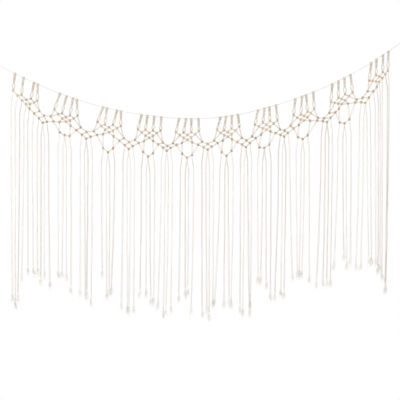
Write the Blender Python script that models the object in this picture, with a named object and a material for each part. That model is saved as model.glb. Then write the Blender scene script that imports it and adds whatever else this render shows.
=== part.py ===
"""A macrame wall hanging on a carrier cord, in metres, +Z up, its front facing -Y.

Ten groups of knotted cotton strands hang side by side from one thin carrier cord, which sags
between the tied loops at its two ends. Each group has four sennits, a V-shaped patch of knots
under them, and eight pairs of free strands. Neighbouring groups are tied together by an upper
and a lower swag, and a small U of knots hangs below the tip of each inner group.

The places below are on the flat of the hanging: x from its middle, z from the carrier cord's
lowest point. The pieces are then moved so that the origin is where a hook carries the left loop.
"""

import math
import random

import bmesh
import bpy
from mathutils import Vector

MM = 0.001

# ---- driving sizes

CARRIER = 1.75 * MM  # radius of the carrier cord
CHANNEL = 2.1 * MM  # half the width of the channel for it in the heads of the sennits
GAP = 0.9 * MM  # clear space where the net meets the backing of the fringe
STRAND = 2.0 * MM  # corner radius of a strand's three-sided section
PAIR = 2.1 * MM  # half the distance between the two strands of a pair
LINK = 2.9 * MM  # radius of a pair drawn together between two knots
NECK = 9 * MM  # a link is as thin as that this far from its knot
KNOT = 6.2 * MM  # radius of a knot
FLAT = 0.75  # knots and bars are this much thinner than they are wide
JOIN = 0.1 * MM  # points nearer than this are the same place

# The carrier cord, as it hangs under the macrame's weight: x, z in mm.
ROUTE = (
    (-1084, 295), (-980, 240), (-879, 192), (-741, 134), (-592, 83), (-425, 42), (-316, 23),
    (-215, 10), (-63, 0), (88, 6), (201, 22), (296, 43), (405, 73), (486, 99), (594, 139),
    (688, 179), (796, 233), (891, 287), (1005, 362), (1084, 420),
)
ROUTE_POINTS = 66

# A tied loop at an end of the carrier cord, with its knot and the knot's short tail.
LOOP_LONG, LOOP_WIDE, LOOP_POINTS = 44 * MM, 19 * MM, 14
LOOP_KNOT = tuple((along * MM, radius * MM) for along, radius in (
    (0.4, 3), (6.5, 5.4), (12.5, 3)))
TAIL_DROP = 24 * MM

# One row for each group, in mm: the places of its four sennits along the cord, and how far to
# the right of each one's top and how far below it the knot under that sennit hangs.
GROUPS = (
    # s1, s2, s3, s4, right1, right2, right3, right4, drop1, drop2, drop3, drop4
    (-979, -934, -878, -858, -9, -10, -16, -3, 89, 92, 85, 88),
    (-741, -706, -672, -652, -29, -24, -16, 4, 85, 92, 91, 86),
    (-513, -492, -439, -418, -29, -11, -21, -1, 79, 88, 77, 79),
    (-309, -278, -242, -205, -19, -10, -7, -4, 78, 76, 74, 71),
    (-111, -74, -46, -8, -16, -13, 0, 2, 73, 73, 70, 65),
    (108, 138, 168, 201, -17, -11, -1, 7, 67, 72, 68, 64),
    (307, 341, 367, 402, -16, -8, 3, 8, 78, 74, 74, 80),
    (504, 540, 561, 599, -9, -7, 8, 5, 86, 96, 88, 89),
    (700, 733, 764, 796, -7, -1, 3, 11, 97, 90, 87, 94),
    (906, 934, 968, 997, -11, -3, -1, -3, 95, 84, 90, 102),
)
# Where each pair of strands ends, in mm below the cord's lowest point.
HEMS = (
    # p0, p1, p2, p3, p4, p5, p6, p7
    (985, 1020, 985, 875, 837, 848, 840, 896),
    (861, 914, 864, 853, 869, 943, 954, 964),
    (964, 1004, 853, 975, 954, 943, 1025, 1044),
    (1044, 1046, 964, 959, 1001, 1001, 1023, 1075),
    (1054, 1049, 988, 956, 956, 1049, 1065, 1046),
    (1086, 1012, 1004, 1012, 1007, 1020, 1044, 1054),
    (1070, 1023, 885, 888, 914, 975, 975, 959),
    (964, 874, 853, 853, 853, 890, 906, 906),
    (906, 901, 811, 763, 808, 790, 821, 816),
    (790, 790, 790, 832, 827, 874, 933, 938),
)
# How far to the right each pair has drifted at its end, in mm.
DRIFTS = (
    # p0, p1, p2, p3, p4, p5, p6, p7
    (11, 3, -7, -10, 4, 6, 5, 0),
    (4, 10, 5, -2, 6, 0, 2, 8),
    (-4, -3, 9, 5, 0, -17, -6, 6),
    (-5, -2, -5, 0, 9, -4, -16, -8),
    (-11, -5, -9, 2, -3, -12, 3, 8),
    (0, 0, -26, -3, 7, -10, 0, -6),
    (13, -4, 5, -9, 5, 0, -20, -5),
    (-9, 20, 10, -8, -13, 4, -26, -10),
    (-10, -8, -19, 9, 5, 0, -18, -12),
    (13, 8, 5, 0, 0, 0, -12, -17),
)
# One row for each two neighbouring groups: how deep their lower and upper swags hang, in mm, and
# how far their knots lie to the right of the usual places, as a share of the width.
SWAGS = (
    # lower, upper, skew
    (59, 60, -0.06), (64, 71, -0.01), (75, 76, 0.01), (64, 78, -0.02), (61, 72, 0.02),
    (73, 77, -0.01), (60, 67, -0.01), (62, 70, 0.13), (68, 66, 0.15),
)
# One row for each group with a small U: how far to the right of the group's tip the U's middle
# lies, and how far below the tip its left, middle and right knots hang, in mm.
SMALL_U_PLACES = (
    # shift, left, middle, right
    None, (-7, 57, 72, 76), (-5, 84, 106, 85), (-6, 75, 100, 82), (-2, 74, 95, 82),
    (-7, 81, 101, 74), (-11, 94, 97, 79), (-7, 89, 98, 78), (15, 98, 102, 81), None,
)

# A sennit: how far along it from the cord's middle each section lies, and its radius.
SENNIT = tuple((along * MM, radius * MM) for along, radius in (
    (-7.5, 4.4), (6, 6.8), (33, 5.4), (43, 4.2)))
LEG_BULGE = 7 * MM

ROW_DROP, TIP_DROP = 15 * MM, 11 * MM  # from one row of a patch to the next, and to the tip
TIP_STUB = 0.42  # the last two pairs are seen this far towards the tip's knot
# The knots of the swags: each one's place along its swag, and its share of the swag's depth.
LOWER_AT = ((0.11, 0.25), (0.25, 0.50), (0.38, 0.76), (0.48, 1.0), (0.58, 0.75), (0.73, 0.47),
            (0.865, 0.29))
UPPER_AT = ((0.16, 0.80), (0.46, 1.0), (0.82, 0.77))
U_HALF = 26 * MM  # the small U's half width
# Below the outermost patches they run on: the row they are under, how far out and how far down.
EDGES = (("first", 6 * MM, 17 * MM), ("second", 8 * MM, 14 * MM), ("third", 8 * MM, 14 * MM))

FORK, HELD_FORKS = 0.6, (0.36, 0.64)  # a pair parts into its strands this far to its next place
SPLAY_DROP, SPLAY_SIDE = 26 * MM, 9 * MM  # below the knot it hangs this far to its own side
HANG_LEAN, WOBBLE, SPREAD, UNEVEN = -3 * MM, 1 * MM, 0.8 * MM, 6 * MM
SWING = 3.2 * MM  # every other pair ends this far in front of the flat, the others behind it
FLARE, FLARE_LONG = 4.2 * MM, 24 * MM  # the frayed ends

COTTON, CARRIER_COTTON = (0.86, 0.79, 0.70), (0.82, 0.76, 0.68)


def down(point, drop, right=0.0):
    return point + Vector((right, 0, -drop))


def mid(a, b):
    return (a + b) / 2


def smooth_curve(points, count):
    """count points evenly spaced on a smooth curve through the points."""
    ends = [2 * points[0] - points[1], *points, 2 * points[-1] - points[-2]]
    fine, steps = [], 20
    for a, b, c, d in zip(ends, ends[1:], ends[2:], ends[3:]):
        for t in (step / steps for step in range(steps)):
            fine.append((2 * b + (c - a) * t + (2 * a - 5 * b + 4 * c - d) * t * t
                         + (3 * b - a - 3 * c + d) * t ** 3) / 2)
    fine.append(points[-1])
    along = [0.0]
    for a, b in zip(fine, fine[1:]):
        along.append(along[-1] + (b - a).length)
    even, k = [], 0
    for step in range(count):
        at = along[-1] * step / (count - 1)
        while k < len(fine) - 2 and along[k + 1] < at:
            k += 1
        even.append(fine[k].lerp(fine[k + 1], (at - along[k]) / (along[k + 1] - along[k])))
    return even


# ---- where the knots are

CARRIER_LINE = smooth_curve([Vector((x, 0, z)) * MM for x, z in ROUTE], ROUTE_POINTS)


def cord_at(x):
    """The carrier cord's point at x."""
    for a, b in zip(CARRIER_LINE, CARRIER_LINE[1:]):
        if a.x <= x <= b.x:
            return a.lerp(b, (x - a.x) / (b.x - a.x))
    raise ValueError(f"the carrier cord doesn't reach {x}")


def patch_of(group):
    """The knots of one group, row by row: four, three, two and the tip."""
    sizes = [value * MM for value in group]
    first = [down(cord_at(x), drop, right)
             for x, right, drop in zip(sizes[:4], sizes[4:8], sizes[8:])]
    second = [down(mid(a, b), ROW_DROP) for a, b in zip(first, first[1:])]
    third = [down(mid(a, b), ROW_DROP) for a, b in zip(second, second[1:])]
    return {"first": first, "second": second, "third": third,
            "tip": down(mid(*third), TIP_DROP)}


def swag(left, right, sag, skew, places):
    """The knots between left and right, each down by its share of the sag."""
    return [down(left.lerp(right, t + 4 * skew * t * (1 - t)), sag * MM * share)
            for t, share in places]


def end_of(patch, side):
    """The knots under the outer edge of a patch, from the outer corner of the hanging in."""
    outer = 0 if side < 0 else -1
    return [down(patch[row][outer], drop, side * out) for row, out, drop in EDGES]


def small_u_of(patch, place):
    """The three knots of the small U under a tip."""
    if not place:
        return []
    shift, *drops = (value * MM for value in place)
    return [down(patch["tip"], drop, shift + side * U_HALF)
            for side, drop in zip((-1, 0, 1), drops)]


PATCHES = [patch_of(group) for group in GROUPS]
LOWERS = [swag(a["tip"], b["tip"], lower, skew, LOWER_AT)
          for a, b, (lower, _, skew) in zip(PATCHES, PATCHES[1:], SWAGS)]
UPPERS = [swag(a["first"][3], b["first"][0], upper, skew, UPPER_AT)
          for a, b, (_, upper, skew) in zip(PATCHES, PATCHES[1:], SWAGS)]
LEFT_END, RIGHT_END = end_of(PATCHES[0], -1), end_of(PATCHES[-1], 1)
SMALL_US = [small_u_of(patch, place) for patch, place in zip(PATCHES, SMALL_U_PLACES)]


def beads(knots):
    """A route through the knots, thick at each one and thin halfway between them."""
    route = [(knots[0], KNOT)]
    for before, knot in zip(knots, knots[1:]):
        route += [(mid(before, knot), LINK), (knot, KNOT)]
    return route


def chain_knots():
    """The lower swags as one zigzag of knots, from the left corner to the right one."""
    knots = [*LEFT_END]
    for patch, onward in zip(PATCHES, [*LOWERS, RIGHT_END[::-1]]):
        knots += [patch["tip"], *onward]
    return knots


CHAIN = beads(chain_knots())


# ---- ridged bars

def in_plane(angle):
    return Vector((math.cos(angle), 0, math.sin(angle)))


def place_of(point):
    return round(point.x / JOIN), round(point.z / JOIN)


class Bars:
    """A closed mesh of ridged bars, diamond-shaped in section, along routes. A route is a list
    of (point, radius), and routes join where they share a point."""

    def __init__(self, routes):
        self.points, self.radii, self.ways = {}, {}, {}
        for route in routes:
            for point, radius in route:
                place = place_of(point)
                self.points[place] = point
                self.radii[place] = max(radius, self.radii.get(place, 0))
            for (a, _), (b, _) in zip(route, route[1:]):
                self.ways.setdefault(place_of(a), set()).add(place_of(b))
                self.ways.setdefault(place_of(b), set()).add(place_of(a))
        self.shape = bmesh.new()
        self.ridges, self.sides = {}, {}
        for place in self.points:
            self.add_section(place)
        self.ends = {place for place, ways in self.ways.items() if len(ways) == 1}
        for place, ways in self.ways.items():
            for way in ways:
                if place < way:
                    self.add_bar(place, way)

    def add_section(self, place):
        """The ridge points of a place, and a corner between each two bars that meet there."""
        point, radius = self.points[place], self.radii[place]
        self.ridges[place] = [self.shape.verts.new(point + Vector((0, side * radius * FLAT, 0)))
                              for side in (-1, 1)]
        turns = []
        for way in self.ways[place]:
            run = self.points[way] - point
            turns.append((math.atan2(run.z, run.x), way))
        turns.sort()
        if len(turns) == 1:
            angle, way = turns[0]
            self.sides[place, way] = [self.new_corner(place, angle + turn, radius)
                                      for turn in (math.pi / 2, -math.pi / 2)]
            return
        for (angle, way), (following, onward) in zip(turns, turns[1:] + turns[:1]):
            half = (following - angle) % math.tau / 2
            room = min((self.points[end] - point).length for end in (way, onward)) * 0.8
            reach = min(max(radius, LINK / math.sin(min(half, math.pi / 2))), max(room, radius))
            corner = self.new_corner(place, angle + half, reach)
            self.sides.setdefault((place, way), [None, None])[0] = corner
            self.sides.setdefault((place, onward), [None, None])[1] = corner

    def new_corner(self, place, angle, reach):
        return self.shape.verts.new(self.points[place] + in_plane(angle) * reach)

    def add_bar(self, place, way):
        for near, far in zip(self.sides[place, way], reversed(self.sides[way, place])):
            for ridge, onward in zip(self.ridges[place], self.ridges[way]):
                self.shape.faces.new((ridge, onward, far, near))

    def end_section(self, point):
        """The corners and ridge points of a bar's end, the left corner first."""
        place = place_of(point)
        self.ends.discard(place)
        way, = self.ways[place]
        return sorted(self.sides[place, way], key=lambda vert: vert.co.x), self.ridges[place]

    def fork(self, start, left_rings, right_rings, stop=None):
        """Go on from the end at start as two strands, to their own ends or the bar at stop."""
        corners, ridges = self.end_section(start)
        lasts = [[], []]
        if stop:
            last_corners, last_ridges = self.end_section(stop)
            lasts = [[[corner, *last_ridges]] for corner in last_corners]
        for corner, rings, last in zip(corners, (left_rings, right_rings), lasts):
            rows = [[self.shape.verts.new(point) for point in ring] for ring in rings]
            rows = [[corner, *ridges], *rows, *last]
            for row, below in zip(rows, rows[1:]):
                for k in (0, 1, 2):
                    self.shape.faces.new((row[k - 1], row[k], below[k], below[k - 1]))
            if not stop:
                self.shape.faces.new(rows[-1])

    def made(self, name):
        """The object, with its open ends closed."""
        for place in list(self.ends):
            corners, ridges = self.end_section(self.points[place])
            self.shape.faces.new((ridges[0], corners[0], ridges[1], corners[1]))
        return new_object(name, self.shape)


def new_collection(name):
    made = bpy.data.collections.new(name)
    bpy.context.scene.collection.children.link(made)
    return made


def new_object(name, shape):
    bmesh.ops.recalc_face_normals(shape, faces=shape.faces)
    mesh = bpy.data.meshes.new(name)
    shape.to_mesh(mesh)
    shape.free()
    obj = bpy.data.objects.new(name, mesh)
    PART.objects.link(obj)
    return obj


def meeting_links(starts, stop):
    """The drawn-together pairs from two knots of a patch to the end of an upper swag."""
    ways = [stop - start for start in starts]
    apart = 1.15 * LINK / math.sin(ways[0].angle(ways[1]) / 2)
    routes = []
    for start, way in zip(starts, ways):
        meeting = stop - way.normalized() * min(apart, way.length * 0.65)
        routes.append(even_route([start, start + way.normalized() * NECK, meeting, stop], LINK))
    return routes


def clearance(point, route):
    """How far a point is from the side of a route's bars."""
    clear = []
    for (a, first), (b, second) in zip(route, route[1:]):
        share = (point - a).dot(b - a) / (b - a).length_squared
        share = min(1, max(0, share))
        clear.append((point - a.lerp(b, share)).length - first - (second - first) * share)
    return min(clear)


def stopped_link(start, knot, most=1.0):
    """A link to a knot of the lower swags, which ends clear of it or that far towards it."""
    way = (knot - start).normalized()
    across, reach = Vector((-way.z, 0, way.x)) * LINK, (knot - start).length * most
    while min(clearance(start + way * reach + side * across, CHAIN) for side in (-1, 1)) < GAP:
        reach -= GAP / 2
    end = start + way * reach
    if reach < 1.5 * NECK:
        return even_route([start, end], LINK)
    return even_route([start, start + way * NECK, end], LINK)


def even_route(points, radius):
    return [(point, radius) for point in points]


# ---- the knotted net

def sennits():
    """The sennits, with their heads round the cord."""
    routes = []
    for group, patch in zip(GROUPS, PATCHES):
        for x, knot in zip(group, patch["first"]):
            top = cord_at(x * MM)
            way = (knot - top).normalized()
            routes.append([(top + way * along, radius) for along, radius in SENNIT])
    return routes


def legs():
    """The two pairs that bow apart from each sennit's foot and meet in the knot under it."""
    routes = []
    for (foot, _), knot in zip([route[-1] for route in sennits()],
                               [knot for patch in PATCHES for knot in patch["first"]]):
        for side in (-1, 1):
            bow = down(mid(foot, knot), 0, side * LEG_BULGE)
            routes.append(even_route([foot, bow, knot], LINK))
    return routes


def patches():
    """Each group's netted patch: a zigzag of its first two rows, a V and an inner peak."""
    routes = []
    for patch in PATCHES:
        first, second, third, tip = patch.values()
        zigzag = [first[0]]
        for under, knot in zip(second, first[1:]):
            zigzag += [under, knot]
        routes += [beads(zigzag), beads([second[0], third[0], second[1], third[1], second[2]]),
                   *(stopped_link(knot, tip, TIP_STUB) for knot in third)]
    return routes


def swags():
    """The upper swags, and the links between them, the patches and the lower swags."""
    routes = []
    for left, right, upper, lower in zip(PATCHES, PATCHES[1:], UPPERS, LOWERS):
        routes += [
            beads(upper),
            *meeting_links((left["first"][3], left["second"][2]), upper[0]),
            *meeting_links((right["first"][0], right["second"][0]), upper[2]),
            stopped_link(upper[0], lower[1]), stopped_link(upper[1], lower[2]),
            stopped_link(upper[1], lower[4]), stopped_link(upper[2], lower[5]),
            stopped_link(left["third"][1], lower[0]), stopped_link(right["third"][0], lower[6]),
        ]
    return routes


def net():
    """Everything above the lower swags, with a channel for the carrier cord."""
    body = Bars(sennits() + legs() + patches() + swags()).made("macrame_net")
    cut = body.modifiers.new("Channel", "BOOLEAN")
    cut.operation = "DIFFERENCE"
    cut.solver = "EXACT"
    cut.object = tube("channel", CARRIER_LINE, CHANNEL * math.sqrt(2), 4, math.pi / 4)
    body.data = evaluated_mesh(body)
    bpy.data.objects.remove(cut.object)
    body.modifiers.remove(cut)
    return body


# ---- the fringe and its backing

def roots_of(k):
    """The knot that each of group k's eight pairs leaves, and how far to a side it hangs."""
    if k:
        left = [(knot, 1) for knot in LOWERS[k - 1][3:]]
    else:
        corner, second, third = LEFT_END
        left = [(corner, -0.6), (second, -0.1), (third, -0.6), (third, 1.9)]
    if k < len(LOWERS):
        right = [(knot, -1) for knot in LOWERS[k][:4]]
    else:
        corner, second, third = RIGHT_END
        right = [(third, -1.75), (third, -0.1), (second, 0.2), (corner, 0.4)]
    return left + right


def section_of(point, side, out=STRAND, deep=STRAND):
    """A strand's three-sided section, its edge to that side."""
    centre = point + Vector((side * PAIR, 0, 0))
    return [centre + Vector((side * out, 0, 0)),
            *(centre + Vector((-side * STRAND / 2, half * deep * 0.87, 0)) for half in (-1, 1))]


def fringe():
    """The fringe, rooted in the chain of the lower swags and in the small Us."""
    chance = random.Random(4)
    routes = [CHAIN] + [beads(knots) for knots in SMALL_US if knots]
    hanging, held = [], []
    for k, (hems, drifts) in enumerate(zip(HEMS, DRIFTS)):
        roots = roots_of(k)
        if SMALL_US[k]:
            left, bottom, right = SMALL_US[k]
            for (knot, _), holder in zip(roots[2:6], (left, left, right, right)):
                start, stop = (knot.lerp(holder, share) for share in HELD_FORKS)
                held.append((start, stop))
                routes += [pair_root(knot, start, LINK), pair_root(holder, stop, LINK)]
            roots[2:6] = [(left, -1), (bottom, -1), (bottom, 1), (right, 1)]
        for (knot, side), hem, drift in zip(roots, hems, drifts):
            splay = down(knot, SPLAY_DROP, side * SPLAY_SIDE)
            start = knot.lerp(splay, FORK)
            swing = SWING if len(hanging) % 2 else -SWING
            end = Vector((splay.x + HANG_LEAN + drift * MM, swing, -hem * MM))
            hanging.append((start, splay, end))
            routes.append(pair_root(knot, start, PAIR + STRAND))
    bars = Bars(routes)
    for start, stop in held:
        middle = mid(start, stop)
        bars.fork(start, [section_of(middle, -1)], [section_of(middle, 1)], stop)
    for start, splay, middle in hanging:
        sway = chance.uniform(-WOBBLE, WOBBLE)
        rings = []
        for strand in (-1, 1):
            end = down(middle, chance.uniform(-UNEVEN, UNEVEN),
                       sway + strand * chance.uniform(0, SPREAD))
            flare = splay.lerp(end, 1 - FLARE_LONG / (splay - end).length)
            rings.append([section_of(splay, strand), section_of(flare, strand),
                          section_of(end, strand, FLARE, FLARE)])
        bars.fork(start, *rings)
    return bars.made("fringe")


def pair_root(knot, fork, radius):
    """The start of a pair at its knot, up to where it parts into its two strands."""
    return [(knot, KNOT), (fork, radius)]


# ---- the carrier cord and its loops

def tube(name, line, radius, sides, turn=0.0):
    """A closed tube along a line."""
    data = bpy.data.curves.new(name, "CURVE")
    data.dimensions = "3D"
    data.use_fill_caps = True
    data.bevel_depth = radius
    data.bevel_resolution = (sides - 4) // 2
    spline = data.splines.new("POLY")
    spline.points.add(len(line) - 1)
    for point, place in zip(spline.points, line):
        point.co = (*place, 1)
        point.tilt = turn
    curve = bpy.data.objects.new(name, data)
    PART.objects.link(curve)
    mesh = evaluated_mesh(curve)
    bpy.data.objects.remove(curve)
    shape = bmesh.new()
    shape.from_mesh(mesh)
    bmesh.ops.remove_doubles(shape, verts=shape.verts, dist=0.01 * MM)
    return new_object(name, shape)


def evaluated_mesh(obj):
    bpy.context.view_layer.update()
    return bpy.data.meshes.new_from_object(
        obj.evaluated_get(bpy.context.evaluated_depsgraph_get()))


def end_way(end):
    """The carrier cord's end point there, and the direction out of it."""
    last, before = (CARRIER_LINE[0], CARRIER_LINE[1]) if end < 0 else CARRIER_LINE[:-3:-1]
    return last, (last - before).normalized()


def hook_place(end):
    """Where a hook carries the loop: the inside of its far end."""
    last, way = end_way(end)
    return last + way * (LOOP_KNOT[-1][0] + LOOP_LONG - CARRIER)


def hanging_loop(name, end):
    """The tied loop past an end of the carrier cord, flat against the wall, with its knot and
    the knot's tail."""
    last, way = end_way(end)
    across = Vector((-way.z, 0, way.x))
    knot = [(last + way * along, radius) for along, radius in LOOP_KNOT]
    neck = knot[-1][0]
    ring = [neck]
    for k in range(2, LOOP_POINTS - 1):
        turn = math.tau * k / LOOP_POINTS
        out = LOOP_LONG * (1 - math.cos(turn)) / 2
        side = LOOP_WIDE / 1.54 * math.sin(turn) * math.sin(turn / 2)
        ring.append(neck + way * out + across * side)
    middle = knot[1][0]
    tail = [middle, down(middle, TAIL_DROP / 2, 2 * MM), down(middle, TAIL_DROP)]
    return Bars([knot, even_route([*ring, neck], CARRIER),
                 even_route(tail, CARRIER)]).made(name)


# ---- the whole

def cotton(colour, name):
    material = bpy.data.materials.new(name)
    material.use_nodes = True
    shader = material.node_tree.nodes["Principled BSDF"]
    shader.inputs["Base Color"].default_value = (*colour, 1)
    shader.inputs["Roughness"].default_value = 0.95
    shader.inputs["Metallic"].default_value = 0.0
    return material


def main():
    made = [
        (net(), COTTON),
        (fringe(), COTTON),
        (tube("carrier_cord", CARRIER_LINE, CARRIER, 8), CARRIER_COTTON),
        (hanging_loop("hanging_loop_left", -1), CARRIER_COTTON),
        (hanging_loop("hanging_loop_right", 1), CARRIER_COTTON),
    ]
    hook = hook_place(-1)
    for obj, colour in made:
        obj.data.materials.clear()
        obj.data.materials.append(cotton(colour, obj.name))
        obj.location = -hook


for leftover in list(bpy.data.objects):
    bpy.data.objects.remove(leftover)
PART = new_collection("macrame_wall_hanging")
main()
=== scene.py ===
"""The looks of a macrame wall hanging on a carrier cord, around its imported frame.

The carrier cord, each strand, knot, sennit and frayed end is modelled here as twisted cotton
string. The places below are on the flat of the hanging: x from its middle, z from the carrier
cord's lowest point. The pieces are then moved so that the origin is where a hook carries the
left loop.
"""

import math
import random

import bpy
import numpy as np
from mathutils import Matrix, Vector


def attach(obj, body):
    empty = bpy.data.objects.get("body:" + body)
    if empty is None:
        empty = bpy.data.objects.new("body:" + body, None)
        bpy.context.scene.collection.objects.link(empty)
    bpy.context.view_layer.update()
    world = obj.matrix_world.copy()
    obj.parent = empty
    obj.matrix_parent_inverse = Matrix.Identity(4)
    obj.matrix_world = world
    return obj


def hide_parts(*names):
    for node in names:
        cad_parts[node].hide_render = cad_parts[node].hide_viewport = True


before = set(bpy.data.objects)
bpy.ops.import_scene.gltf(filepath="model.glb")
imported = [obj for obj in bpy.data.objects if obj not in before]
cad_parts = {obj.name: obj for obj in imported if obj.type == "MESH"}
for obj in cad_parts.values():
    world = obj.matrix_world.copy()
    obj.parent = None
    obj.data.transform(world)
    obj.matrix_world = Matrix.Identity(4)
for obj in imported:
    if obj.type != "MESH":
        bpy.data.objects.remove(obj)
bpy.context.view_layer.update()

MM = 0.001

# ---- driving sizes

CARRIER = 1.75 * MM  # radius of the carrier cord
ROPE_GAP, ROPE_SIDES, ROPE_PLY, ROPE_TURN = 1.6 * MM, 9, 0.1, math.radians(40)
LOOP_LONG, LOOP_WIDE, LOOP_POINTS = 44 * MM, 19 * MM, 14
TEARDROP = 0.77  # the most that sin(turn) * sin(turn / 2) reaches
LOOP_KNOT_LONG = 12.5 * MM
# The cord's turns round the knot of a loop: how far out they lie, and how far along it they go.
TURNS, TURN_STEPS, TURNS_OUT, TURNS_LONG = 3, 8, 2.6 * MM, 10 * MM
TAIL_DROP = 24 * MM

STRING = 1.6 * MM  # radius of a strand
SIDES, PLIES, PLY_DEPTH = 6, 3, 0.13  # of a strand's section
TURN = math.radians(60)  # from one ring of a strand to the next
RING_GAP, PAIR_GAP = 4.5 * MM, 3.5 * MM
TIP = 0.3  # the first and the last ring are this much of the strand's radius
RADIUS_SHARES = (0.93, 1.05)  # how far one hanging strand's radius differs from another's

# A knot: its half width, its depth to one side, and the length of a half knot.
KNOT_WIDE, KNOT_DEEP, KNOT_PITCH = 4.4 * MM, 2.7 * MM, 4.6 * MM
KNOTTED = 1.9 * MM  # radius of the strand that ties a knot
KNOT_STEPS, KNOT_GAP, KNOT_TURN = 8, 1.7 * MM, math.radians(25)
KNOT_STUB = 0.4  # it starts and ends this share of a half knot past the knot
# Over the core it lies at the knot's depth, and at the sides it tucks under and hurries down.
RISE, ROUNDED, TUCK, HURRY = 1.5, 0.15, 0.3, 0.1
KNOT_TILT, KNOT_SIZES = 0.12, (0.94, 1.06)  # how far one knot differs from another
CORE = 1.3 * MM  # half the distance between the two strands inside a knot

SENNIT_TOP, SENNIT_FOOT, HALF_KNOTS = 9 * MM, 43 * MM, 6
SENNIT_WIDE, SENNIT_CORE = (5.6 * MM, 4.6 * MM), 1.4 * MM
LEG_BULGE, LEG_SHARES = 6.5 * MM, (0.85, 1.1)  # how far a leg bows out, and by which shares
LINK_SLACK, LINK_DEEP = 0.8 * MM, 0.6 * MM  # a link's middle lies up to this far from its line
# The heads of the folded strands, hitched side by side to the carrier cord.
HEAD, HEAD_HALF, HEAD_SIDE = 1.65 * MM, 2.1 * MM, 3.7 * MM
HEAD_GAP, HEAD_TURN = 1.5 * MM, math.radians(20)
# Half the distance between the strands of a pair, from its upper end to its lower one.
LINK_HALVES = (1.0 * MM, 1.8 * MM, 1.8 * MM, 1.0 * MM)
LEG_HALVES = (1.0 * MM, 1.8 * MM, 1.9 * MM, 1.8 * MM, 1.0 * MM)
OPEN_HALVES = (0.8 * MM, 2 * MM, 3.4 * MM, 2 * MM, 0.8 * MM)
# How much painted shade each gets, the shade that falls in a knot's crevices: a plain strand is
# 0, and a frayed end is below that.
LINK_TONE, HEAD_TONE, PATCH_TONE, SWAG_TONE = 0.2, 0.35, 0.85, 1.1
# Sennits get painted shade as well; each pair's tone and each half knot's spread differ at
# random.
SENNIT_TONES, STRAND_TONES, TONE_SPREAD = (0.2, 0.4), (-0.2, 0.25), (-0.3, 0.2)

# The carrier cord, as it hangs under the macrame's weight: x, z in mm.
ROUTE = (
    (-1084, 295), (-980, 240), (-879, 192), (-741, 134), (-592, 83), (-425, 42), (-316, 23),
    (-215, 10), (-63, 0), (88, 6), (201, 22), (296, 43), (405, 73), (486, 99), (594, 139),
    (688, 179), (796, 233), (891, 287), (1005, 362), (1084, 420),
)
ROUTE_POINTS = 66

# One row for each group, in mm: the places of its four sennits along the cord, and how far to
# the right of each one's top and how far below it the knot under that sennit hangs.
GROUPS = (
    # s1, s2, s3, s4, right1, right2, right3, right4, drop1, drop2, drop3, drop4
    (-979, -934, -878, -858, -9, -10, -16, -3, 89, 92, 85, 88),
    (-741, -706, -672, -652, -29, -24, -16, 4, 85, 92, 91, 86),
    (-513, -492, -439, -418, -29, -11, -21, -1, 79, 88, 77, 79),
    (-309, -278, -242, -205, -19, -10, -7, -4, 78, 76, 74, 71),
    (-111, -74, -46, -8, -16, -13, 0, 2, 73, 73, 70, 65),
    (108, 138, 168, 201, -17, -11, -1, 7, 67, 72, 68, 64),
    (307, 341, 367, 402, -16, -8, 3, 8, 78, 74, 74, 80),
    (504, 540, 561, 599, -9, -7, 8, 5, 86, 96, 88, 89),
    (700, 733, 764, 796, -7, -1, 3, 11, 97, 90, 87, 94),
    (906, 934, 968, 997, -11, -3, -1, -3, 95, 84, 90, 102),
)
# Where each pair of strands ends, in mm below the cord's lowest point.
HEMS = (
    # p0, p1, p2, p3, p4, p5, p6, p7
    (985, 1020, 985, 875, 837, 848, 840, 896),
    (861, 914, 864, 853, 869, 943, 954, 964),
    (964, 1004, 853, 975, 954, 943, 1025, 1044),
    (1044, 1046, 964, 959, 1001, 1001, 1023, 1075),
    (1054, 1049, 988, 956, 956, 1049, 1065, 1046),
    (1086, 1012, 1004, 1012, 1007, 1020, 1044, 1054),
    (1070, 1023, 885, 888, 914, 975, 975, 959),
    (964, 874, 853, 853, 853, 890, 906, 906),
    (906, 901, 811, 763, 808, 790, 821, 816),
    (790, 790, 790, 832, 827, 874, 933, 938),
)
# How far to the right each pair has drifted at its end, in mm.
DRIFTS = (
    # p0, p1, p2, p3, p4, p5, p6, p7
    (11, 3, -7, -10, 4, 6, 5, 0),
    (4, 10, 5, -2, 6, 0, 2, 8),
    (-4, -3, 9, 5, 0, -17, -6, 6),
    (-5, -2, -5, 0, 9, -4, -16, -8),
    (-11, -5, -9, 2, -3, -12, 3, 8),
    (0, 0, -26, -3, 7, -10, 0, -6),
    (13, -4, 5, -9, 5, 0, -20, -5),
    (-9, 20, 10, -8, -13, 4, -26, -10),
    (-10, -8, -19, 9, 5, 0, -18, -12),
    (13, 8, 5, 0, 0, 0, -12, -17),
)
# One row for each two neighbouring groups: how deep their lower and upper swags hang, in mm, and
# how far their knots lie to the right of the usual places, as a share of the width.
SWAGS = (
    # lower, upper, skew
    (59, 60, -0.06), (64, 71, -0.01), (75, 76, 0.01), (64, 78, -0.02), (61, 72, 0.02),
    (73, 77, -0.01), (60, 67, -0.01), (62, 70, 0.13), (68, 66, 0.15),
)
# One row for each group, None where it has no small U: how far to the right of the group's tip
# the U's middle lies, and how far below the tip its left, middle and right knots hang, in mm.
SMALL_U_PLACES = (
    # shift, left, middle, right
    None, (-7, 57, 72, 76), (-5, 84, 106, 85), (-6, 75, 100, 82), (-2, 74, 95, 82),
    (-7, 81, 101, 74), (-11, 94, 97, 79), (-7, 89, 98, 78), (15, 98, 102, 81), None,
)

ROW_DROP, TIP_DROP = 15 * MM, 11 * MM  # from one row of a patch to the next, and to the tip
# The knots of the swags: each one's place along its swag, and its share of the swag's depth.
LOWER_AT = ((0.11, 0.25), (0.25, 0.50), (0.38, 0.76), (0.48, 1.0), (0.58, 0.75), (0.73, 0.47),
            (0.865, 0.29))
UPPER_AT = ((0.16, 0.80), (0.46, 1.0), (0.82, 0.77))
U_HALF = 26 * MM  # the small U's half width

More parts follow.
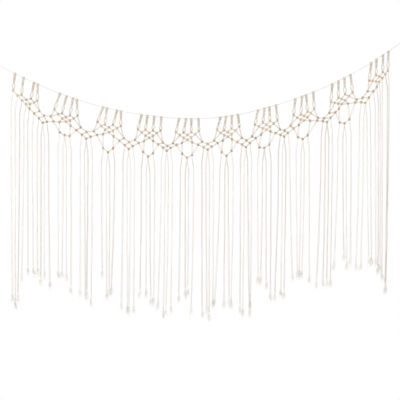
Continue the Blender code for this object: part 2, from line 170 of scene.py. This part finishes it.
PAIR = 1.7 * MM  # half the distance between the two strands of a hanging pair
SPLAY_DROP, SPLAY_SIDE = 85 * MM, 9 * MM  # below the knot it hangs this far to its own side
# The ends of all pairs lean this far to the right, and of each by chance up to this far to a
# side, apart from each other, and up or down.
HANG_LEAN, WOBBLE, SPREAD, UNEVEN = -3 * MM, 1 * MM, 1 * MM, 6 * MM
SWING = 3.2 * MM  # every other pair ends this far behind the flat, the others in front of it
DRIFT_POWER = 1.6  # of the drift's growth down a strand
# How often a strand bends a little, and how far to a side and to the front or the back.
SPAN, BEND_SIDE, BEND_DEEP = 110 * MM, 1.3 * MM, 0.5 * MM
FRAY, FRAY_OUT = 62 * MM, 12 * MM  # length of a frayed end, and how far it spreads
FRAY_SHARES, FRAY_FLAT = (0.62, 1.08), 0.4  # of that length, and its depth by its width
FIBRES, FIBRE_START = 18, 6 * MM  # the fibres start this far above the strand's own end
FIBRE_RADII = tuple(radius * MM for radius in (0.8, 0.75, 0.6, 0.55, 0.45, 0.32, 0.1))
# Fibres are painted paler towards their tips, painted light for the light that passes through
# thin fibres.
FIBRE_TONES = (-0.3, -0.6, -1, -1, -1, -1, -1)

# Colours: a strand's own; a darker one, for random variation and for painted shade on links,
# heads and sennits; a paler one, for random spots and for painted light on frayed fibres; and
# two of painted shade for the crevices of knots.
STRING_COLOURS = ((0.83, 0.82, 0.79), (0.74, 0.70, 0.64), (0.99, 0.975, 0.94),
                  (0.78, 0.58, 0.40), (0.52, 0.42, 0.30))
CORD_COLOURS = ((0.72, 0.71, 0.70), (0.60, 0.59, 0.58), (0.84, 0.83, 0.82),
                (0.60, 0.57, 0.54), (0.50, 0.48, 0.46))
# The first darkens fibre streaks; the second is painted shade in the grooves between the plies.
FIBRE_SHADE, GROOVE_PAINTED_SHADE = (0.90, 0.86, 0.82), (0.72, 0.64, 0.56)

PIXEL = 5.29 * MM  # of the photograph, on the flat of the hanging
PHOTO_SIZE, CORD_ROW = 400, 118.7  # in pixels: its sides, and down to the cord's lowest point
PHOTO_MIDDLE = Vector((0, 0, (CORD_ROW - PHOTO_SIZE / 2) * PIXEL))
EYE_AWAY = 6.0  # the camera's distance in front of the flat
FLOOR_DROP = 2.05  # below the carrier cord's lowest point
FLOOR_HALF, FLOOR_FRONT, FLOOR_BACK = 3, -7.5, 2.4


def down(point, drop, right=0.0):
    return point + Vector((right, 0, -drop))


def mid(a, b):
    return (a + b) / 2


def smooth_curve(points, count):
    """count points evenly spaced on a smooth curve through the points."""
    ends = [2 * points[0] - points[1], *points, 2 * points[-1] - points[-2]]
    fine, steps = [], 20
    for a, b, c, d in zip(ends, ends[1:], ends[2:], ends[3:]):
        for t in (step / steps for step in range(steps)):
            fine.append((2 * b + (c - a) * t + (2 * a - 5 * b + 4 * c - d) * t * t
                         + (3 * b - a - 3 * c + d) * t ** 3) / 2)
    fine.append(points[-1])
    fine = np.array(fine)
    along = np.append(0, np.cumsum(np.linalg.norm(np.diff(fine, axis=0), axis=1)))
    even = np.linspace(0, along[-1], count)
    return [Vector(point) for point in zip(*(np.interp(even, along, axis) for axis in fine.T))]


def spaced_curve(points, gap):
    """Points about gap apart on a smooth curve through the points, at least four."""
    length = sum((b - a).length for a, b in zip(points, points[1:]))
    return smooth_curve(points, max(4, round(length / gap) + 1))


# ---- where the knots are

CARRIER_LINE = smooth_curve([Vector((x, 0, z)) * MM for x, z in ROUTE], ROUTE_POINTS)


def cord_at(x):
    """The carrier cord's point at x."""
    for a, b in zip(CARRIER_LINE, CARRIER_LINE[1:]):
        if a.x <= x <= b.x:
            return a.lerp(b, (x - a.x) / (b.x - a.x))
    raise ValueError(f"the carrier cord doesn't reach {x}")


def patch_of(group):
    """The knots of one group, row by row: four, three, two and the tip."""
    sizes = [value * MM for value in group]
    first = [down(cord_at(x), drop, right)
             for x, right, drop in zip(sizes[:4], sizes[4:8], sizes[8:])]
    second = [down(mid(a, b), ROW_DROP) for a, b in zip(first, first[1:])]
    third = [down(mid(a, b), ROW_DROP) for a, b in zip(second, second[1:])]
    return {"first": first, "second": second, "third": third,
            "tip": down(mid(*third), TIP_DROP)}


def swag(left, right, sag, skew, places):
    """The knots between left and right, each down by its share of the sag."""
    return [down(left.lerp(right, t + 4 * skew * t * (1 - t)), sag * MM * share)
            for t, share in places]


def small_u_of(patch, place):
    """The three knots of the small U under a tip."""
    if not place:
        return []
    shift, *drops = (value * MM for value in place)
    return [down(patch["tip"], drop, shift + side * U_HALF)
            for side, drop in zip((-1, 0, 1), drops)]


PATCHES = [patch_of(group) for group in GROUPS]
LOWERS = [swag(a["tip"], b["tip"], lower, skew, LOWER_AT)
          for a, b, (lower, _, skew) in zip(PATCHES, PATCHES[1:], SWAGS)]
UPPERS = [swag(a["first"][3], b["first"][0], upper, skew, UPPER_AT)
          for a, b, (_, upper, skew) in zip(PATCHES, PATCHES[1:], SWAGS)]
SMALL_US = [small_u_of(patch, place) for patch, place in zip(PATCHES, SMALL_U_PLACES)]


def end_way(end):
    """The carrier cord's end point there, and the direction out of it."""
    last, before = (CARRIER_LINE[0], CARRIER_LINE[1]) if end < 0 else CARRIER_LINE[:-3:-1]
    return last, (last - before).normalized()


def hook_place(end):
    """Where a hook carries the loop: the inside of its far end."""
    last, way = end_way(end)
    return last + way * (LOOP_KNOT_LONG + LOOP_LONG - CARRIER)


ORIGIN = hook_place(-1)


# ---- string

class Strings:
    """Strands of twisted string, collected into one mesh."""

    def __init__(self, seed):
        self.chance = random.Random(seed)
        self.points, self.faces, self.uvs, self.tones, self.grooves = [], [], [], [], []
        self.count = 0

    def add(self, line, radii, tone=0.0, sides=SIDES, ply=PLY_DEPTH, turn=TURN):
        """A strand along the line, each ring turned on from the last one by turn, with rounded
        ends. radii and tone are one value each, or one for each point."""
        line = np.array(line)
        radii = np.array(np.broadcast_to(radii, len(line)))
        radii[[0, -1]] *= TIP
        ways = np.gradient(line, axis=0)
        ways /= np.linalg.norm(ways, axis=1)[:, None]
        out = carried_along(ways)
        across = np.cross(ways, out)
        steps = np.arange(sides) * math.tau / sides
        angles = steps + np.arange(len(line))[:, None] * turn + self.chance.uniform(0, math.tau)
        crest = np.cos(PLIES * steps)
        reach = radii[:, None] * (1 + ply * crest)
        ring = (np.cos(angles)[..., None] * out[:, None]
                + np.sin(angles)[..., None] * across[:, None])
        self.points.append((line[:, None] + ring * reach[..., None]).reshape(-1, 3))
        self.tones.append(np.repeat(np.broadcast_to(tone, len(line)), sides))
        self.grooves.append(np.tile((1 - crest) / 2 if ply else np.zeros(sides), len(line)))
        self.add_faces(line, sides)

    def add_faces(self, line, sides):
        """The faces between the rings and over the two ends, with how far along the strand each
        corner lies."""
        rows, columns = np.meshgrid(np.arange(len(line) - 1), np.arange(sides), indexing="ij")
        rows, columns = rows.ravel(), columns.ravel()
        beside = (columns + 1) % sides
        corners = [(rows, columns), (rows, beside), (rows + 1, beside), (rows + 1, columns)]
        quads = np.stack([self.count + row * sides + column for row, column in corners], axis=1)
        self.faces += quads.tolist()
        along = np.append(0, np.cumsum(np.linalg.norm(np.diff(line, axis=0), axis=1)))
        own = self.chance.randrange(1000)
        around = [columns, columns + 1, columns + 1, columns]
        u = own + np.stack(around, axis=1) / (sides + 1)
        v = np.stack([along[rows], along[rows], along[rows + 1], along[rows + 1]], axis=1)
        self.uvs.append(np.stack([u.ravel(), v.ravel()], axis=1))
        first, last = self.count, self.count + (len(line) - 1) * sides
        self.faces += [list(range(first + sides - 1, first - 1, -1)),
                       list(range(last, last + sides))]
        self.uvs.append(np.full((2 * sides, 2), own + 0.5))
        self.count += len(line) * sides

    def made(self, name, material):
        """The mesh as a piece of the object, with each point's tone and place in a groove."""
        mesh = bpy.data.meshes.new(name)
        mesh.from_pydata(np.concatenate(self.points) - np.array(ORIGIN), [], self.faces)
        uvs = mesh.uv_layers.new(name="along").uv
        uvs.foreach_set("vector", np.concatenate(self.uvs).ravel())
        for attribute, values in (("tone", self.tones), ("groove", self.grooves)):
            layer = mesh.attributes.new(attribute, "FLOAT", "POINT")
            layer.data.foreach_set("value", np.concatenate(values))
        mesh.shade_smooth()
        mesh.materials.append(material)
        piece = bpy.data.objects.new(name, mesh)
        bpy.context.scene.collection.objects.link(piece)
        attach(piece, "root")
        return piece


def carried_along(ways):
    """A normal to each way, with no turn from one to the next."""
    ways = [Vector(way) for way in ways]
    normal = ways[0].orthogonal().normalized()
    normals = [normal.copy()]
    for before, way in zip(ways, ways[1:]):
        normal.rotate(before.rotation_difference(way))
        normals.append(normal.copy())
    return np.array(normals)


# ---- knots, links and sennits

def tied(strings, place, half_knots, pitch, wide, tilt, mirror, tone):
    """Square knots tied by two strands, one on the front and one on the back, down from place.
    wide is half the width there, first and last, and tilt leans them to the right."""
    steps = [step / KNOT_STEPS for step in range(KNOT_STEPS * half_knots + 1)]
    lean = Vector((math.tan(tilt), 0, 0))
    for front in (-1, 1):
        line = [place + Vector((0, 0, pitch * KNOT_STUB))]
        for t in steps:
            half = wide[0] + (wide[1] - wide[0]) * t / half_knots
            x = mirror * front * half * math.cos(math.pi * t)
            inwards = math.sin(math.pi * t) ** 2
            y = front * KNOT_DEEP * (RISE * inwards / (inwards + ROUNDED) - TUCK)
            z = -pitch * (t + HURRY * math.sin(math.tau * t))
            line.append(place + Vector((x, y, z)) + lean * -z)
        foot = -pitch * (half_knots + KNOT_STUB)
        line.append(place + Vector((0, 0, foot)) + lean * -foot)
        line = spaced_curve(line, KNOT_GAP)
        tones = [tone + strings.chance.uniform(*TONE_SPREAD) for _ in range(2 * half_knots + 1)]
        tones = np.interp(np.linspace(0, 1, len(line)), np.linspace(0, 1, len(tones)), tones)
        strings.add(line, KNOTTED, tones, turn=KNOT_TURN)


def pair(strings, points, halves, tone, gap=PAIR_GAP):
    """Two strands side by side along a smooth curve through the points. halves are half the
    distances between them, evenly spaced along the curve."""
    line = spaced_curve(points, gap)
    shares = np.linspace(0, 1, len(line))
    halves = np.interp(shares, np.linspace(0, 1, len(halves)), halves)
    ways = [(b - a).normalized() for a, b in zip(line, line[1:])]
    ways.append(ways[-1])
    lean = strings.chance.uniform(-0.5, 0.5) * MM
    for side in (-1, 1):
        strand = []
        for point, way, half in zip(line, ways, halves):
            strand.append(point + Vector((-way.z, 0, way.x)) * side * half
                          + Vector((0, side * lean, 0)))
        strings.add(strand, STRING, tone)


def knot(strings, place, tone):
    """One square knot of two half knots, round a pair of strands."""
    tilt = strings.chance.uniform(-KNOT_TILT, KNOT_TILT)
    mirror = strings.chance.choice((-1, 1))
    size = strings.chance.uniform(*KNOT_SIZES)
    pitch = KNOT_PITCH * size
    wide = (KNOT_WIDE * size, KNOT_WIDE * size)
    top = down(place, -pitch, -math.tan(tilt) * pitch)
    tied(strings, top, 2, pitch, wide, tilt, mirror, tone)
    core = [place.lerp(top, 1.2), place, place.lerp(top, -1.2)]
    pair(strings, core, (CORE, CORE), tone, 2 * MM)


def link(strings, a, b):
    """The pair of strands from one knot to the next."""
    slack = strings.chance.uniform(-LINK_SLACK, LINK_SLACK)
    deep = strings.chance.uniform(-LINK_DEEP, LINK_DEEP)
    pair(strings, [a, mid(a, b) + Vector((slack, deep, -abs(slack))), b], LINK_HALVES, LINK_TONE)


def open_link(strings, a, b):
    """A pair whose strands bow apart between two knots."""
    pair(strings, [a, mid(a, b), b], OPEN_HALVES, LINK_TONE / 2)


def larks_head(strings, top, side):
    """A folded strand hitched to the carrier cord, its bight across the front. The route goes
    up behind the cord, over it and down to the bight, and the other half is its mirror image."""
    half, away = HEAD_HALF, CARRIER + STRING
    route = [
        (0.6 * half, 0.4 * MM, -13 * MM), (0.6 * half, 0.6 * MM, -8 * MM),
        (0.8 * half, away, -1 * MM), (half, away * 0.7, away * 0.7),
        (half, 0, away), (half, -away * 0.7, away * 0.7),
        (half, -away, 0), (half, -away, -3.5 * MM),
        (half * 0.9, -away - 0.4 * MM, -6 * MM), (half * 0.5, -away - 0.8 * MM, -7.2 * MM),
    ]
    middle = side * HEAD_SIDE
    left = [Vector((middle - x, y, z)) for x, y, z in route]
    right = [Vector((middle + x, y, z)) for x, y, z in route[::-1]]
    line = spaced_curve([top + point for point in left + right], HEAD_GAP)
    strings.add(line, HEAD, HEAD_TONE, turn=HEAD_TURN)


def sennit(strings, top, knot_under):
    """A sennit of square knots on the carrier cord, and its legs down to the knot under it."""
    for side in (-1, 1):
        larks_head(strings, top, side)
    tilt = math.atan((knot_under.x - top.x) / (top.z - knot_under.z))
    start = down(top, SENNIT_TOP, math.tan(tilt) * SENNIT_TOP)
    foot = down(top, SENNIT_FOOT, math.tan(tilt) * SENNIT_FOOT)
    pitch = (SENNIT_FOOT - SENNIT_TOP) / HALF_KNOTS
    mirror = strings.chance.choice((-1, 1))
    tone = strings.chance.uniform(*SENNIT_TONES)
    tied(strings, start, HALF_KNOTS, pitch, SENNIT_WIDE, tilt, mirror, tone)
    pair(strings, [start, mid(start, foot), foot], (SENNIT_CORE, SENNIT_CORE), tone)
    for side in (-1, 1):
        bulge = side * LEG_BULGE * strings.chance.uniform(*LEG_SHARES)
        bow = down(foot.lerp(knot_under, 0.48), 0, bulge)
        fuller = Vector((side * MM, 0, 0))
        leg = [down(foot, -2 * MM), foot.lerp(bow, 0.45) + fuller, bow,
               knot_under.lerp(bow, 0.45) + fuller, knot_under]
        pair(strings, leg, LEG_HALVES, LINK_TONE)


def links_of(points):
    """Each two neighbouring points."""
    return list(zip(points, points[1:]))


def group_net(strings, k):
    """One group's sennits and netted patch, with the swags to the next group."""
    first, second, third, tip = PATCHES[k].values()
    for x, under in zip(GROUPS[k], first):
        sennit(strings, cord_at(x * MM), under)
    links = []
    for under, (left, right) in zip(second, links_of(first)):
        links += [(left, under), (right, under)]
    links += links_of([second[0], third[0], second[1], third[1], second[2]])
    links += [(third[0], tip), (third[1], tip)]
    for place in (*first, *second, *third, tip):
        knot(strings, place, PATCH_TONE)
    if k < len(LOWERS):
        upper, lower, following = UPPERS[k], LOWERS[k], PATCHES[k + 1]
        links += links_of(upper) + links_of([tip, *lower, following["tip"]])
        links += [(first[3], upper[0]), (second[2], upper[0]), (third[1], lower[0]),
                  (following["first"][0], upper[2]), (following["second"][0], upper[2]),
                  (following["third"][0], lower[6]), (upper[0], lower[1]), (upper[1], lower[2]),
                  (upper[1], lower[4]), (upper[2], lower[5])]
        for place in upper + lower:
            knot(strings, place, SWAG_TONE)
    for a, b in links:
        link(strings, a, b)


# ---- the fringe

def roots_of(k):
    """The knot that each of group k's eight pairs leaves, and how far to a side it hangs."""
    first, second, third, tip = PATCHES[k].values()
    if k:
        left = [(place, 1) for place in LOWERS[k - 1][3:]]
    else:
        left = [(place, -1.25) for place in (first[0], second[0], third[0], tip)]
    if k < len(LOWERS):
        right = [(place, -1) for place in LOWERS[k][:4]]
    else:
        right = [(tip, 0.7), (third[1], 0), (second[2], 1.3), (first[3], 0.8)]
    return left + right


def frayed_end(strings, end, way):
    """The strand's fibres, combed out into a brush."""
    for _ in range(FIBRES):
        angle, spread = strings.chance.uniform(0, math.tau), math.sqrt(strings.chance.random())
        out = Vector((math.cos(angle), FRAY_FLAT * math.sin(angle), 0)) * spread
        length = FRAY * strings.chance.uniform(*FRAY_SHARES)
        bend = Vector((strings.chance.uniform(-2, 2), strings.chance.uniform(-1, 1), 0)) * MM
        route = [
            end - way * FIBRE_START + out * STRING * 0.7,
            end + way * length * 0.15 + out * STRING * 1.6,
            end + way * length * 0.55 + out * FRAY_OUT * 0.72 + bend,
            end + way * length + out * FRAY_OUT - bend,
        ]
        line = smooth_curve(route, len(FIBRE_RADII))
        strings.add(line, FIBRE_RADII, FIBRE_TONES, sides=3, ply=0, turn=0.3)


def hanging_strand(strings, root, splay, end, tone):
    """One strand from its knot past its splay down to its frayed end, drifting more as it
    goes down."""
    drift = end - splay
    way = Vector((DRIFT_POWER * drift.x, drift.y, drift.z)).normalized()
    stop = end - way * FRAY
    drift = stop - splay
    spans = max(3, round(drift.length / SPAN))
    points = [root, root.lerp(splay, 0.4), splay]
    for share in (span / spans for span in range(1, spans)):
        off = Vector((strings.chance.uniform(-BEND_SIDE, BEND_SIDE),
                      strings.chance.uniform(-BEND_DEEP, BEND_DEEP), 0))
        points.append(splay + Vector((drift.x * share ** DRIFT_POWER, drift.y * share,
                                      drift.z * share)) + off)
    points.append(stop)
    line = spaced_curve(points, RING_GAP)
    strings.add(line, STRING * strings.chance.uniform(*RADIUS_SHARES), tone)
    frayed_end(strings, stop, way)


def group_fringe(strings, k):
    """The eight pairs of one group, and its small U."""
    roots = roots_of(k)
    if SMALL_US[k]:
        left, bottom, right = SMALL_US[k]
        for (place, _), holder in zip(roots[2:6], (left, left, right, right)):
            open_link(strings, place, holder)
        for a, b in links_of(SMALL_US[k]):
            link(strings, a, b)
        for place in SMALL_US[k]:
            knot(strings, place, SWAG_TONE)
        roots[2:6] = [(left, -1), (bottom, -1), (bottom, 1), (right, 1)]
    for number, ((place, side), hem, drift) in enumerate(zip(roots, HEMS[k], DRIFTS[k])):
        splay = down(place, SPLAY_DROP, side * SPLAY_SIDE)
        sway = HANG_LEAN + drift * MM + strings.chance.uniform(-WOBBLE, WOBBLE)
        swing = SWING if number % 2 else -SWING
        tone = strings.chance.uniform(*STRAND_TONES)
        for strand in (-1, 1):
            apart = Vector((strand * PAIR, 0, 0))
            spread = strings.chance.uniform(0, SPREAD)
            end = Vector((splay.x + sway + strand * spread, swing,
                          -hem * MM + strings.chance.uniform(-UNEVEN, UNEVEN)))
            hanging_strand(strings, place + apart * 0.5, splay + apart, end + apart, tone)


# ---- the carrier cord and its loops

def rope(strings, line):
    """Three-ply cord, tightly laid."""
    strings.add(spaced_curve(line, ROPE_GAP), CARRIER, sides=ROPE_SIDES, ply=ROPE_PLY,
                turn=ROPE_TURN)


def hanging_loop(name, end, material):
    """The tied loop past an end of the carrier cord, with its knot's turns and its tail."""
    strings = Strings(name)
    last, way = end_way(end)
    across = Vector((-way.z, 0, way.x))
    neck = last + way * LOOP_KNOT_LONG
    ring = [last - way * 2 * MM, neck]
    for step in range(2, LOOP_POINTS - 1):
        turn = math.tau * step / LOOP_POINTS
        out = LOOP_LONG * (1 - math.cos(turn)) / 2
        side = LOOP_WIDE / (2 * TEARDROP) * math.sin(turn) * math.sin(turn / 2)
        ring.append(neck + way * out + across * side)
    ring += [neck, last + way * MM]
    rope(strings, ring)
    turns = []
    for step in range(TURNS * TURN_STEPS + 1):
        angle = math.tau * step / TURN_STEPS
        along = last + way * (MM + TURNS_LONG * step / (TURNS * TURN_STEPS))
        out = across * math.cos(angle) + Vector((0, math.sin(angle), 0))
        turns.append(along + out * TURNS_OUT)
    rope(strings, turns)
    middle = last + way * LOOP_KNOT_LONG / 2
    rope(strings, [middle, down(middle, TAIL_DROP / 2, 2 * MM), down(middle, TAIL_DROP)])
    piece = strings.made(name + "_rope", material)
    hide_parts(name)
    return piece


def carrier_cord(material):
    """The cord between the two loops."""
    strings = Strings("carrier")
    rope(strings, CARRIER_LINE)
    piece = strings.made("carrier_rope", material)
    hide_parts("carrier_cord")


# ---- cotton

def cotton(name, colour, shade, pale, knot_painted_shade, deepest_painted_shade):
    """Twisted cotton: fibre streaks along the ply, fine fuzz, and colour that varies from
    strand to strand. Where tone nears 1, as in a knot, it turns to patches of the last two
    colours, painted shade for the crevices of knots, and to the last one where it is higher.
    It is paler where tone is below 0, at random on strands and as painted light on frayed
    fibres. Painted shade darkens the grooves between the plies, most in knots."""
    material = bpy.data.materials.new(name)
    material.use_nodes = True
    nodes, wire = material.node_tree.nodes, material.node_tree.links.new
    shader = nodes["Principled BSDF"]

    def node(kind, **inputs):
        made = nodes.new(kind)
        for key, value in inputs.items():
            made.inputs[key.replace("_", " ")].default_value = value
        return made

    def noise(vector, scale, detail):
        made = node("ShaderNodeTexNoise", Scale=scale, Detail=detail)
        wire(vector, made.inputs["Vector"])
        return made.outputs["Fac"]

    def ranged(value, low, high, start=0.3, stop=0.7):
        """low where the value is at start or below it, and high at stop or above it."""
        made = node("ShaderNodeMapRange", From_Min=start, From_Max=stop, To_Min=low, To_Max=high)
        wire(value, made.inputs["Value"])
        return made.outputs["Result"]

    def mixed(share, first, second, blend="MIX"):
        """The first colour, with that share of the second."""
        made = nodes.new("ShaderNodeMix")
        made.data_type = "RGBA"
        made.blend_type = blend
        for socket, value in (("Factor_Float", share), ("A_Color", first), ("B_Color", second)):
            socket = next(item for item in made.inputs if item.identifier == socket)
            if isinstance(value, bpy.types.NodeSocket):
                wire(value, socket)
            else:
                socket.default_value = (*value, 1)
        return next(item for item in made.outputs if item.identifier == "Result_Color")

    def attribute(name):
        made = nodes.new("ShaderNodeAttribute")
        made.attribute_name = name
        return made.outputs["Fac"]

    place = nodes.new("ShaderNodeTexCoord").outputs["Object"]
    along = nodes.new("ShaderNodeUVMap")
    along.uv_map = "along"
    stretched = nodes.new("ShaderNodeVectorMath")
    stretched.operation = "MULTIPLY"
    wire(along.outputs["UV"], stretched.inputs[0])
    stretched.inputs[1].default_value = (22, 90, 1)  # round the strand, and along each metre
    fibres = noise(stretched.outputs["Vector"], 1.0, 3)
    fuzz = noise(place, 1500, 2)
    broad = noise(place, 7, 2)
    spots = noise(place, 60, 3)
    patches = noise(place, 15, 1)
    tone = attribute("tone")

    rgb = mixed(ranged(broad, 0, 0.6), colour, shade)
    rgb = mixed(ranged(spots, 0, 0.3), rgb, pale)
    # Tone below 0 pales: at random on strands, and as painted light on frayed fibres.
    rgb = mixed(ranged(tone, 1, 0, start=-1, stop=0), rgb, pale)
    # Tone from 0 to 0.3 darkens: painted shade on links, lark's heads and sennits, and random on
    # strands.
    rgb = mixed(ranged(tone, 0, 0.9, start=0, stop=0.3), rgb, shade)
    # The two knot colours, in patches, are painted shade for the crevices of knots.
    painted_knot_shade_rgb = mixed(ranged(patches, 0, 0.8, start=0.42, stop=0.58), knot_painted_shade, deepest_painted_shade)
    painted_knot_shade_rgb = mixed(ranged(tone, 0, 1, start=0.85, stop=1.25), painted_knot_shade_rgb, deepest_painted_shade)
    rgb = mixed(ranged(tone, 0, 1, start=0.15, stop=1), rgb, painted_knot_shade_rgb)
    rgb = mixed(ranged(fibres, 0, 0.5), rgb, FIBRE_SHADE, "MULTIPLY")
    # Painted shade in the grooves between the plies, deeper where tone is higher, as in knots.
    deep = nodes.new("ShaderNodeMath")
    deep.operation = "MULTIPLY"
    wire(attribute("groove"), deep.inputs[0])
    wire(ranged(tone, 0.35, 1, start=0, stop=0.8), deep.inputs[1])
    rgb = mixed(deep.outputs["Value"], rgb, GROOVE_PAINTED_SHADE, "MULTIPLY")
    wire(rgb, shader.inputs["Base Color"])
    wire(ranged(fuzz, 0.84, 0.98), shader.inputs["Roughness"])
    shader.inputs["Sheen Weight"].default_value = 0.25
    shader.inputs["Sheen Roughness"].default_value = 0.6
    shader.inputs["Specular IOR Level"].default_value = 0.25

    height = nodes.new("ShaderNodeMath")
    height.operation = "ADD"
    wire(ranged(fibres, 0, 1), height.inputs[0])
    wire(ranged(fuzz, 0, 0.6), height.inputs[1])
    bump = node("ShaderNodeBump", Strength=0.7, Distance=0.35 * MM)
    wire(height.outputs["Value"], bump.inputs["Height"])
    wire(bump.outputs["Normal"], shader.inputs["Normal"])
    return material


# ---- the studio

def plain(name, colour):
    """A matt material of one colour."""
    material = bpy.data.materials.new(name)
    material.use_nodes = True
    shader = material.node_tree.nodes["Principled BSDF"]
    shader.inputs["Base Color"].default_value = (*colour, 1)
    shader.inputs["Roughness"].default_value = 0.9
    return material


def floor():
    """The floor of the studio, well below the hanging."""
    mesh = bpy.data.meshes.new("studio_floor")
    corners = [(-FLOOR_HALF, FLOOR_FRONT, 0), (FLOOR_HALF, FLOOR_FRONT, 0),
               (FLOOR_HALF, FLOOR_BACK, 0), (-FLOOR_HALF, FLOOR_BACK, 0)]
    mesh.from_pydata(corners, [], [(0, 1, 2, 3)])
    mesh.materials.append(plain("studio_floor", (0.9, 0.9, 0.9)))
    plane = bpy.data.objects.new("studio_floor", mesh)
    plane.location = Vector((0, 0, -FLOOR_DROP)) - ORIGIN
    bpy.context.scene.collection.objects.link(plane)


def softbox(name, place, size, power):
    """A square light at the place, turned to the middle of the picture."""
    light = bpy.data.lights.new(name, "AREA")
    light.size = size
    light.energy = power
    lamp = bpy.data.objects.new(name, light)
    lamp.location = place - ORIGIN
    lamp.rotation_euler = (PHOTO_MIDDLE - place).to_track_quat("-Z", "Y").to_euler()
    bpy.context.scene.collection.objects.link(lamp)


def studio():
    """White surroundings, two softboxes, and the camera straight in front, as in the photo."""
    scene = bpy.context.scene
    scene.view_settings.view_transform = "Standard"
    scene.world = bpy.data.worlds.new("studio")
    scene.world.use_nodes = True
    sky = scene.world.node_tree.nodes["Background"]
    sky.inputs["Color"].default_value = (1, 1, 1, 1)
    sky.inputs["Strength"].default_value = 1.0
    softbox("key", Vector((-1.8, -3.0, 1.6)), size=1.6, power=60)
    softbox("fill", Vector((2.4, -2.6, 0.2)), size=2.0, power=20)
    camera = bpy.data.cameras.new("camera")
    camera.sensor_width = 36
    camera.lens = camera.sensor_width * EYE_AWAY / (PHOTO_SIZE * PIXEL)
    eye = bpy.data.objects.new("camera", camera)
    eye.location = PHOTO_MIDDLE - ORIGIN + Vector((0, -EYE_AWAY, 0))
    eye.rotation_euler = (math.pi / 2, 0, 0)
    scene.collection.objects.link(eye)
    scene.camera = eye


def main():
    studio()
    floor()
    cream = cotton("cotton_string", *STRING_COLOURS)
    grey = cotton("cotton_cord", *CORD_COLOURS)
    loops = [hanging_loop("hanging_loop_left", -1, grey),
             hanging_loop("hanging_loop_right", 1, grey)]
    carrier_cord(grey)
    makers = (("net", "macrame_net", group_net), ("fringe", "fringe", group_fringe))
    for k in range(len(GROUPS)):
        for part, node, make in makers:
            strings = Strings(f"{part} {k}")
            make(strings, k)
            piece = strings.made(f"{part}_strings_{k + 1}", cream)
            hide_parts(node)


main()
